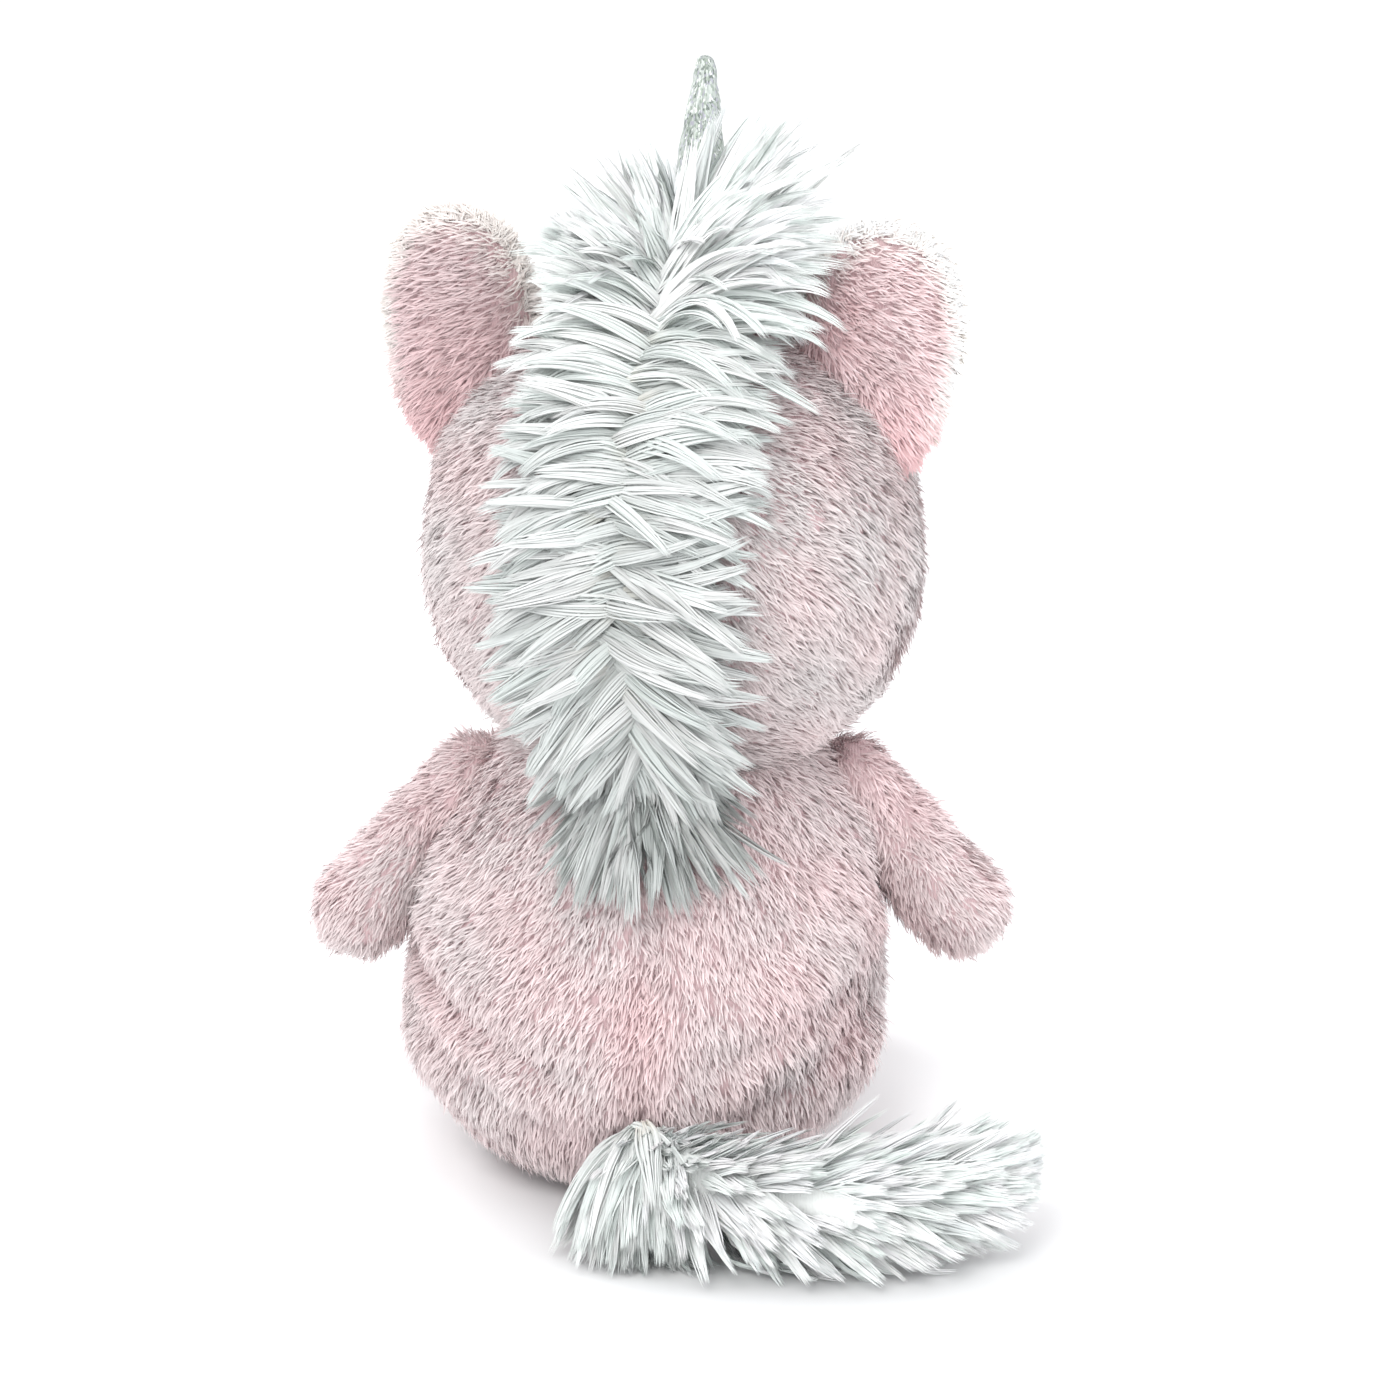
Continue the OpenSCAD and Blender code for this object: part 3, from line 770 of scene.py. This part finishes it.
def ear(side):
    s = 1 if side == "left" else -1
    mid_x, mid_z, w, h, lean = EARS[s]
    centre = np.array([s * mid_x, 0, mid_z])
    root = np.array([s * 50, 0, 53.0])
    outer = ear_faces(s, 1)
    lining = ear_faces(s, -1)

    def comb(p, n):
        q = to_head(p) - root
        return dir_from_head(0.7 * unit(q) + np.array([s * 0.7, 0, -0.85]))

    def edge(p):
        q = to_head(p) - centre
        a = math.radians(lean)
        x = s * q[:, 0] * math.cos(a) - q[:, 2] * math.sin(a)
        z = s * q[:, 0] * math.sin(a) + q[:, 2] * math.cos(a)
        return np.sqrt((x / w) ** 2 + (z / h) ** 2), z

    def colour(p):
        r, z = edge(p)
        rim = (smooth(r, 0.70, 1.0) * smooth(z, -24, 4))[:, None] * 0.85
        # painted shade: towards the ear's root, where it meets the head, the pile is painted darker, with a
        # rosier tone as well
        base = smooth(-z, -4, 26)[:, None] * (1 - rim)
        pale = np.array([0.93, 0.90, 0.86])
        shaded_rose = np.array([0.74, 0.50, 0.51])
        middle = pink_at(p) * np.array([0.93, 0.86, 0.87])
        tint = middle * (1 - rim - 0.8 * base) + pale * rim + shaded_rose * 0.8 * base
        # painted light: the right ear is painted much lighter than the left, to lift it out of the shade it
        # stands in
        return tint * (1.24 if s < 0 else 1.03)

    for name, skin, tint, skin_mat, fur_mat, slot, node, length, seed in (
            ("cover", outer, colour, PINK_SKIN, PINK_FUR, "pink_plush", "outer", 6.4, 140 + s),
            ("inner", lining, cream_at, CREAM_SKIN, CREAM_FUR, "cream_plush", "lining", 4.6, 150 + s)):
        cloth = add_mesh(f"{side}_ear_{name}", skin.v, skin.q, skin_mat)
        pile = plush(f"{side}_ear_{name}_pile", skin, comb, tint, fur_mat, seed, length=length, lean=(32, 68))
        for o in [cloth, *pile]:
            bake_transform(o)
        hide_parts(f"{side}_ear_{node}")
    # a fringe of longer pale tufts stands out all round the rim
    rng = np.random.default_rng(160 + s)
    v = outer.v.reshape(96, 30, 3)[:, -2]
    m = 900
    k = rng.random(m) * 96
    i = k.astype(int) % 96
    j = (i + 1) % 96
    f = (k - k.astype(int))[:, None]
    p = v[i] * (1 - f) + v[j] * f + dir_from_head(np.array([0, -1.0, 0])) * rng.uniform(-1.5, 2.5, (m, 1))
    out = unit(p - from_head(centre))
    backward = dir_from_head(np.array([0, 1.0, 0]))
    away = unit(out + 0.35 * rng.normal(size=out.shape) + backward * rng.uniform(-0.5, 0.6, (m, 1)))
    fringe_strands(f"{side}_ear_fringe", p, away, colour, PINK_FUR, rng, 5.5 + 2.0 * rng.random(m), 7)


def fringe_strands(name, p, away, colour, material, rng, length, per):
    """Tufts of pile standing out of the points p, along away."""
    m = len(p)
    rep = np.repeat(np.arange(m), per)
    n = unit(np.cross(away[rep], rng.normal(size=(len(rep), 3))))
    b = np.cross(away[rep], n)
    off = rng.normal(size=(len(rep), 2)) * 0.8
    steps = 4
    t = np.linspace(0, 1, steps)
    L = length[rep] * rng.uniform(0.7, 1.1, len(rep))
    base = p[rep] - away[rep] * 1.5
    spread = (1 - 0.6 * t)[None, :, None] * (n[:, None] * off[:, :1, None] + b[:, None] * off[:, 1:, None])
    P = base[:, None] + away[rep][:, None] * (L[:, None] * t)[..., None] + spread
    P[..., 2] -= (1.0 * t ** 2)[None]
    face = dir_from_head(np.array([0, 1.0, 0]))
    side = unit(np.cross(away[rep], np.broadcast_to(face, (len(rep), 3))))
    shade = unit(0.35 * away[rep] + 0.8 * face)
    w = 0.55 * np.array([1, 0.9, 0.6, 0])[None] * rng.uniform(0.7, 1.2, (len(rep), 1))
    # painted shade: the tufts are painted darker towards their roots
    col = colour(p)[rep][:, None] * np.array([0.85, 0.92, 1, 1.05])[None, :, None]
    col = col * (1 + 0.06 * rng.normal(size=(m, 1, 1)))[rep]
    S, H = (np.repeat(a[:, None], steps, 1) for a in (side, shade))
    for o in strands(name, P, w, S, H, np.clip(col, 0, 1), material):
        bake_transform(o)


# ---------------------------------------------------------------- long locks

def outside_head(p):
    off = p - HEAD_C
    d = np.linalg.norm(off, axis=-1)
    return d - (HEAD_R + 3.0), off / d[..., None]


UPPER = torso_profile()


def outside_torso(p):
    ax = -4.5 * smooth(p[..., 2], 40, 135)
    off = np.stack([p[..., 0] - ax, p[..., 1], 0 * ax], -1)
    d = np.linalg.norm(off, axis=-1)
    wide = np.interp(p[..., 2], UPPER[:, 1], UPPER[:, 0], left=0, right=0)
    return (d - wide - 4.0) * 0.9, off / np.maximum(d, 1e-6)[..., None]


def above_floor(p):
    up = np.zeros_like(p)
    up[..., 2] = 1
    return p[..., 2] - 0.3, up


def grow(root, heading, length, steps, sink, keep_off):
    """Centrelines of locks, and the outward directions along them. sink(p, d, t) bends them,
    per mm, and keep_off is a list of distance functions, each with the room that it is given."""
    m = len(root)
    P = np.zeros((m, steps, 3))
    P[:, 0], d = root, unit(heading)
    ds = (length / (steps - 1))[:, None]
    for k in range(1, steps):
        t = k / (steps - 1)
        d = unit(d + sink(P[:, k - 1], d, t) * ds)
        p = P[:, k - 1] + d * ds
        for outside, room in keep_off:
            dist, grad = outside(p)
            p = p + grad * np.maximum(room * min(1, k / 3) - dist, 0)[:, None]
        d = unit(p - P[:, k - 1])
        P[:, k] = P[:, k - 1] + d * ds
    return P


def locks(name, P, up, half_w, half_h, per, tip, root_tint, material, rng, width=0.5, pinch=0.55):
    """Bundles of fibres along the centrelines P. up(p) is the way their broad side faces."""
    m, steps, _ = P.shape
    t = np.linspace(0, 1, steps)
    rep = np.repeat(np.arange(m), per)
    total = len(rep)
    # each fibre stops short by its own amount
    reach = 1 - 0.16 * rng.random(total) ** 1.4
    at = t[None] * reach[:, None] * (steps - 1)
    i = np.minimum(at.astype(int), steps - 2)
    f = (at - i)[..., None]
    C = P[rep[:, None], i] * (1 - f) + P[rep[:, None], i + 1] * f
    T = unit(np.gradient(C, axis=1))
    N = up(C)
    N = unit(N - T * (N * T).sum(-1, keepdims=True))
    B = np.cross(T, N)
    ang, rad = rng.random(total) * 2 * math.pi, np.sqrt(rng.random(total))
    a, b = rad * np.cos(ang), rad * np.sin(ang)
    hw = half_w if np.ndim(half_w) == 0 else half_w[rep]
    env = (0.5 + 0.5 * smooth(t, 0, 0.35)) * (1 - pinch * smooth(t, 0.4, 1.0))
    start = rng.random(total)[:, None] * 6.28
    wob = 0.35 * t[None] * np.sin(start + t[None] * rng.uniform(2, 7, total)[:, None])
    across = (a * hw)[:, None] * env[None] + wob
    high = (b * half_h)[:, None] * env[None] + 0.5 * wob[:, ::-1]
    C = C + B * across[..., None] + N * high[..., None]
    # fibres on the under side of a lock face the other way
    flip = np.where(b < -0.25, -1.0, 1.0)[:, None, None]
    H = unit(N * flip * 0.8 + B * (a[:, None] * 0.28)[..., None] + np.array([0, 0, 0.4])
             + 0.06 * rng.normal(size=(total, 1, 3)))
    S = unit(B * flip + 0.35 * rng.normal(size=(total, 1, 1)) * N)
    taper = np.interp(t, [0, 0.15, 0.75, 0.93, 1], [0.7, 1.0, 0.85, 0.5, 0])
    w = width * taper[None] * rng.uniform(0.7, 1.25, (total, 1))
    # painted shade: the root tints (SHADOW) paint shade in among the roots
    mix = smooth(t, 0.0, 0.4)[None, :, None]
    tint = tip[rep][:, None] * mix + root_tint[rep][:, None] * (1 - mix)
    # painted shade: fibres on the under side of a lock are painted darker
    underside_shade = 1 - 0.08 * (0.5 - 0.5 * b)[:, None, None]
    tint = tint * underside_shade * (1 + 0.045 * rng.normal(size=(total, 1, 1)))
    return strands(name, C, w, S, H, np.clip(tint, 0, 1), material, 0.25)


MINT = np.array([0.90, 0.96, 0.93])
PALE = np.array([0.965, 0.975, 0.96])
BEIGE = np.array([0.88, 0.85, 0.76])
SHADOW = np.array([0.80, 0.84, 0.81])


def shag_tints(rng, m, beige=0.25):
    k = rng.random((m, 1))
    tip = MINT * k + PALE * (1 - k)
    tip = tip * rng.uniform(0.93, 1.03, (m, 1))
    k = (rng.random((m, 1)) < beige) * rng.random((m, 1))
    root = SHADOW * (1 - k) + BEIGE * k
    return np.clip(tip, 0, 1), np.clip(root, 0, 1)


def mane_bed():
    """The low inner pile that the locks grow out of."""
    nu, nv = 120, 24
    th = np.radians(np.linspace(-34, 133, nu))
    ph = np.linspace(-1, 1, nv)
    TH, PH = np.meshgrid(th, ph, indexing="ij")
    ends = np.sqrt(np.clip(1 - np.abs((TH - th.mean()) / (th[-1] - th[0]) * 2) ** 14, 0, 1))
    wide = 10 * ends
    x = wide * np.sin(PH * math.pi / 2)
    lift = 66.5 + 6 * ends * np.cos(PH * math.pi / 2)
    q = np.stack([x, lift * np.sin(TH), lift * np.cos(TH)], -1).reshape(-1, 3)
    skin = Skin(from_head(q), grid_faces(nu, nv, wrap_u=False))
    return skin.facing(skin.v - HEAD_C)


def parting(th):
    """How far the parting wanders to +X, in mm, by angle over the head."""
    return np.interp(th, [-38, 0, 45, 80, 95, 120, 136], [0, 0, 1.5, 4.0, 3.0, -0.5, -1.5])


def mane():
    rng = np.random.default_rng(200)
    bed = mane_bed()
    bed_obj = add_mesh("mane_bed", bed.v, bed.q, SHADED_WHITE_BED)
    th = np.concatenate([rng.uniform(-38, 20, 460), rng.uniform(5, 132, 680), rng.uniform(100, 137, 180)])
    m = len(th)
    side = np.where(rng.random(m) < 0.5, 1.0, -1.0)
    a = np.radians(th)
    u = np.stack([0 * a, np.sin(a), np.cos(a)], -1)
    along = np.stack([0 * a, np.cos(a), -np.sin(a)], -1)
    lateral = np.zeros((m, 3))
    lateral[:, 0] = side
    place = parting(th) + rng.normal(size=m) * 4.0
    root = u * (73.0 + rng.uniform(-1, 1, (m, 1)))
    root[:, 0] += np.clip(place, -12, 14)
    psi = np.radians(np.interp(th, [-38, -10, 10, 60, 90, 112, 137], [-62, -28, -8, 2, 12, 48, 82])
                     + 12 * np.clip(rng.normal(size=m), -1.7, 1.7))
    rise = np.radians(np.interp(th, [-38, -10, 8, 30, 60, 100, 137], [58, 66, 60, 42, 32, 26, 12])
                      + 8 * np.clip(rng.normal(size=m), -1.7, 1.7))
    flat = np.cos(psi)[:, None] * lateral + np.sin(psi)[:, None] * along
    heading = np.cos(rise)[:, None] * flat + np.sin(rise)[:, None] * u
    left = np.interp(th, [-38, -10, 12, 40, 70, 100, 137], [42, 47, 41, 36, 38, 40, 50])
    right = np.interp(th, [-38, -10, 12, 40, 70, 100, 137], [50, 60, 54, 42, 39, 40, 50])
    length = np.where(side > 0, left, right) * rng.uniform(0.82, 1.08, m)
    bend = np.interp(th, [-38, -10, 10, 35, 137], [0.012, 0.010, 0.016, 0.036, 0.036])[:, None]
    bend = bend * rng.uniform(0.6, 1.3, (m, 1))
    curl = dir_from_head(along) * (rng.normal(size=(m, 1)) * 0.008)
    low = smooth(th, 95, 120)[:, None]

    def sink(p, d, t):
        out = unit(p - HEAD_C)
        down = np.array([0, 0, -1.0])
        return -out * bend + curl + down * (0.006 + 0.02 * low)

    room = rng.uniform(0.5, 7.5, m) * (1 - 0.3 * smooth(th, 100, 130))
    P = grow(from_head(root), dir_from_head(heading), length, 11, sink,
             [(outside_head, room), (outside_torso, room + 2.5)])
    tip, base = shag_tints(rng, m, 0.35)
    # painted shade: locks further down and round the back of the mane are painted darker, and the roots of
    # the standing locks on top are painted lighter, less shaded
    shaded = np.interp(th, [-38, 20, 50, 90, 137], [1.06, 1.04, 0.86, 0.78, 0.72])[:, None]
    tip, base = np.clip(tip * shaded, 0, 1), np.clip(base * shaded * (1 + 0.2 * (th < 25))[:, None], 0, 1)
    half_w = rng.uniform(1.8, 3.8, m)

    def up(c):
        # where the locks stand up, their broad sides face forwards and backwards
        q = to_head(c)
        stand = 1.5 * smooth(q[..., 2], 45, 80) * (1 - smooth(q[..., 1], 15, 45))
        fan = unit(np.stack([0.6 * q[..., 0], q[..., 1] + 14, 8 + 0 * q[..., 2]], -1))
        return unit(unit(c - HEAD_C) + stand[..., None] * dir_from_head(fan))

    made = locks("mane_lock", P, up, half_w, 0.9, 30, tip, base, WHITE_FUR, rng)
    for o in [bed_obj, *made]:
        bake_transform(o)
    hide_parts("mane_pile")


def spine(count):
    """The tail's core, from its root to the end of the plume."""
    pts = [[0, 62, 30], [-3, 70, 28], [-16, 82, 25], [-38, 92, 23], [-66, 94, 24], [-90, 87, 25],
           [-103, 80, 26]]
    return resample(np.array(pts, float), count)


def tail():
    rng = np.random.default_rng(300)
    line = spine(60)
    # the inner pile: a tapered tube round the spine
    nu = 40
    T = unit(np.gradient(line, axis=0))
    U = unit(np.array([0, 0, 1.0]) - T * T[:, 2:])
    V = np.cross(T, U)
    k = np.linspace(0, 1, 60)
    r = np.interp(k, [0, 0.08, 0.3, 0.8, 0.97, 1], [3, 5, 8, 9, 6, 2])
    phi = np.arange(nu) / nu * 2 * math.pi
    ring = np.cos(phi)[:, None, None] * U[None] + np.sin(phi)[:, None, None] * V[None]
    v = line[None] + r[None, :, None] * ring
    v[..., 2] = np.maximum(v[..., 2], 1.5)
    bed = Skin(v.reshape(-1, 3), grid_faces(nu, 60)).facing((v - line[None]).reshape(-1, 3))
    bed_obj = add_mesh("tail_bed", bed.v, bed.q, SHADED_WHITE_BED)

    # the plume's locks leave the spine on all sides and sweep along it
    m = 780
    at = np.sort(rng.uniform(0.04, 1.0, m) ** 0.9)
    i = np.minimum((at * 59).astype(int), 58)
    p0, t0, u0, v0 = line[i], T[i], U[i], V[i]
    ang = rng.random(m) * 2 * math.pi
    e = np.cos(ang)[:, None] * u0 + np.sin(ang)[:, None] * v0
    root = p0 + e * (r[i] * 0.4)[:, None]
    open_ = np.radians(np.interp(at, [0, 0.3, 0.8, 1], [60, 42, 30, 17]) + 6 * rng.normal(size=m))
    heading = np.cos(open_)[:, None] * t0 + np.sin(open_)[:, None] * e
    length = np.interp(at, [0, 0.25, 0.75, 1], [40, 38, 34, 15]) * rng.uniform(0.8, 1.05, m)
    # few stand up at the root, and those on the floor side stay short
    length *= 1 - 0.7 * (1 - smooth(at, 0.1, 0.45)) * np.maximum(e[:, 2], 0) - 0.18 * np.maximum(e[:, 1], 0)

    def sweep(p, d, t):
        return t0 * 0.010 + np.array([0, 0, -1.0]) * 0.004 + side_curl

    side_curl = e * rng.normal(size=(m, 1)) * 0.004
    lay = rng.uniform(0.0, 3.0, m)
    P = grow(root, heading, length, 11, sweep, [(above_floor, lay), (outside_torso, 0.5 + lay)])

    # the fringe fans out of the root, backwards and to the left, down on to the floor
    n2 = 300
    fan = np.radians(np.interp(rng.random(n2), [0, 0.12, 1], [28, 62, 128]) + 4 * rng.normal(size=n2))
    root2 = np.array([0, 70.5, 29.5]) + rng.normal(size=(n2, 3)) * np.array([2.6, 1.0, 2.4])
    drop = rng.uniform(-0.55, 0.30, n2)
    heading2 = np.stack([np.cos(fan), np.sin(fan), drop], -1)
    length2 = rng.uniform(30, 43, n2)

    def fall(p, d, t):
        return np.array([0, 0, -0.045])

    lay2 = rng.uniform(0.0, 4.0, n2)
    P2 = grow(root2, heading2, length2, 11, fall, [(above_floor, lay2), (outside_torso, 0.5 + lay2)])
    every = np.concatenate([P, P2])
    M = m + n2
    tip, base = shag_tints(rng, M, 0.1)
    # painted light and shade: the plume's locks are painted lighter, the fringe lying on the floor darker,
    # and all the roots lighter
    plume_light_fringe_shade = np.where(np.arange(M) < m, 1.06, 0.93)[:, None]
    tip, base = np.clip(tip * plume_light_fringe_shade, 0, 1), np.clip(base * plume_light_fringe_shade * 1.15, 0, 1)

    def up(c):
        core = line[::6]
        j = np.argmin(((c[..., None, :] - core) ** 2).sum(-1), -1)
        return unit(unit(c - core[j]) + np.array([0, 0.25, 0.6]))

    made = locks("tail_lock", every, up, rng.uniform(1.8, 3.8, M), 1.0, 30, tip, base, WHITE_FUR, rng)
    for o in [bed_obj, *made]:
        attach(o, "tail")
    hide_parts("tail_pile")


# ---------------------------------------------------------------- horn and face

def horn():
    nu, nv = 72, 70
    t = np.linspace(0, 1, nv)
    r = 2.6 + 9.4 * (1 - t) ** 0.8
    z = -5 + 76.0 * t
    dome = np.radians(np.linspace(10, 88, 8))
    prof = np.concatenate([np.stack([r, z], -1), np.stack([2.6 * np.cos(dome), 71 + 2.0 * np.sin(dome)], -1)])
    prof = prof[np.argsort(prof[:, 1])]
    n = len(prof)
    phi = np.arange(nu) / nu * 2 * math.pi
    x = prof[:, 0][None] * np.cos(phi)[:, None]
    y = prof[:, 0][None] * np.sin(phi)[:, None]
    q = np.stack([x, y, np.repeat(prof[:, 1][None], nu, 0)], -1).reshape(-1, 3)
    quads = grid_faces(nu, n)
    nn = vertex_normals(q, quads)
    d = 0.28 * waves(q * np.array([1, 1, 0.6]), 9, 81) + 0.12 * waves(q, 4, 82)
    # the seam up the back, puckered by its stitches
    d += groove(q[:, 0], 0.7, 0.5) * (q[:, 1] > 0) * (1 + 0.4 * np.sin(q[:, 2] * 2.1))
    q = q + nn * (d * smooth(np.tile(prof[:, 0], nu), 0, 3))[:, None]
    lean = math.radians(15)
    a = turn(q, (1, 0, 0), lean)
    seat = math.radians(29)
    place = np.array([0, -71 * math.sin(seat), 71 * math.cos(seat)])
    skin = Skin(from_head(a + place), quads)
    cone = add_mesh("horn_cloth", skin.v, skin.q, SILVER)
    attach(cone, "head")
    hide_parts("horn_cover")
    filling("horn_filling", skin, 0.9, "head", "horn_stuffing")


THREAD_ROSE = np.array([0.62, 0.24, 0.33])


def satin(name, rows):
    """Satin stitch: threads side by side, each arched over the cloth. rows is a list of
    (start, end, up)."""
    start, end, up = (np.array(k) for k in zip(*rows))
    steps = 8
    t = np.linspace(0, 1, steps)
    P = start[:, None] * (1 - t)[None, :, None] + end[:, None] * t[None, :, None]
    P = P + up[:, None] * (1.1 * np.sin(math.pi * t) ** 0.6)[None, :, None]
    rng = np.random.default_rng(400)
    along = unit(end - start)
    side = unit(np.cross(along, up))
    verts, faces, tints = [], [], []
    ring = 6
    for i in range(len(rows)):
        for k in range(steps):
            for j in range(ring):
                c = 2 * math.pi * j / ring
                verts.append(P[i, k] + 0.33 * (math.cos(c) * side[i] + math.sin(c) * up[i]))
        base = i * steps * ring
        for k in range(steps - 1):
            for j in range(ring):
                j2 = (j + 1) % ring
                here, there = base + k * ring, base + (k + 1) * ring
                faces.append([here + j, here + j2, there + j2, there + j])
        tints.append(np.tile(THREAD_ROSE * (1 + 0.05 * rng.normal()), (steps * ring, 1)))
    obj = add_mesh(name, np.array(verts), faces, THREAD)
    layer = obj.data.attributes.new("tint", "FLOAT_COLOR", "POINT")
    tints = np.concatenate(tints)
    rgba = np.concatenate([tints, np.ones((len(tints), 1))], 1)
    layer.data.foreach_set("color", rgba.astype(np.float32).ravel())
    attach(obj, "head")
    return obj


def muzzle():
    centre = np.array([0, -56, -14.0])
    half = np.array([33.0, 25.5, 23.5])
    d, quads = ball_grid(96, 64, 0.02)
    q = centre + d * half * (1 + 0.012 * waves(d * 30, 16, 91))[:, None]
    # a gathered dimple under the nose
    q[:, 1] += 1.6 * np.exp(-((q[:, 0] / 5) ** 2 + ((q[:, 2] + 16) / 4) ** 2)) * (d[:, 1] < 0)
    skin = Skin(from_head(q), quads)
    cover = add_mesh("muzzle_cloth", skin.v, skin.q, CREAM_SKIN)

    def surface(x, z):
        k = 1 - (x / half[0]) ** 2 - (z / half[2]) ** 2
        y = -half[1] * math.sqrt(max(k, 0.01))
        p = centre + np.array([x, y, z])
        n = unit((p - centre) / half ** 2)
        return from_head(p), dir_from_head(n)

    def clear(p, n):
        q = to_head(p)
        x, z = q[:, 0], q[:, 2] - centre[2]
        hole = np.zeros(len(p), bool)
        for s in (1, -1):
            hole |= ((x - s * 10) / 3.4) ** 2 + ((z - 5) / 4.6) ** 2 < 1
        r = np.sqrt(x ** 2 + (z - 4) ** 2)
        hole |= (np.abs(r - 15) < 1.7) & (np.abs(x) < 9.5) & (z < 0)
        outside = np.linalg.norm(q, axis=1) > HEAD_R + 0.5
        return ~(hole & (q[:, 1] < centre[1])) & outside

    def comb(p, n):
        q = to_head(p)
        return dir_from_head(unit(q - (centre + np.array([0, -30, 2]))) + np.array([0, 0, -0.3]))

    pile = plush("muzzle_pile", skin, comb, cream_at, CREAM_FUR, 170, per_mm2=1.8, length=3.4, lean=(25, 66),
                 width=0.45, spread=0.8, mask=clear)
    for o in [cover, *pile]:
        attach(o, "head")
    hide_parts("muzzle_cover")
    # the filling ends at the head
    filling("muzzle_filling", skin, 2.0, "head", "muzzle_stuffing")

    rows = []
    for s in (1, -1):
        for k in np.linspace(-1, 1, 15):
            z = 5 + 3.6 * k
            w = 2.1 * math.sqrt(max(1 - k * k, 0.05))
            shift = s * (10 - 1.1 * k)
            a, n1 = surface(shift - w, z)
            b, n2 = surface(shift + w, z)
            rows.append((a, b, unit(n1 + n2)))
    nostrils = satin("nostril_threads", rows)
    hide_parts("nostril_stitching")
    rows = []
    for k in np.linspace(-35, 35, 38):
        c = math.radians(k)
        x1, z1 = 14.2 * math.sin(c), 4 - 14.2 * math.cos(c)
        x2, z2 = 15.8 * math.sin(c + 0.03), 4 - 15.8 * math.cos(c + 0.03)
        a, n1 = surface(x1, z1)
        b, n2 = surface(x2, z2)
        rows.append((a, b, unit(n1 + n2)))
    smile = satin("mouth_threads", rows)
    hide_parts("mouth_stitching")


def neck():
    d, quads = ball_grid(48, 30, 0.03)
    q = np.array([-4.5, 0, 116.0]) + d * np.array([30, 30, 20]) * (1 + 0.03 * waves(d * 30, 16, 95))[:, None]
    skin = Skin(q, quads)
    obj = add_mesh("neck_filling", skin.v, skin.q, FILLING)
    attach(obj, "neck")
    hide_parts("neck_stuffing")


for side in ("left", "right"):
    arm(side)
    leg(side)
    ear(side)
mane()
tail()
horn()
muzzle()
neck()
filling("torso_filling", torso, 2.2, None, "torso_stuffing", TORSO_TO_NECK)
filling("head_filling", head, 2.2, None, "head_stuffing", NECK_TO_HEAD)

for node, material in (("left_eye", EYE), ("right_eye", EYE), ("left_eye_washer", WASHER),
                       ("right_eye_washer", WASHER), ("pellet_pouch", POUCH_CLOTH),
                       ("mane_backing", SHADED_WHITE_BED), ("tail_backing", SHADED_WHITE_BED)):
    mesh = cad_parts[node].data
    mesh.materials.clear()
    mesh.materials.append(material)
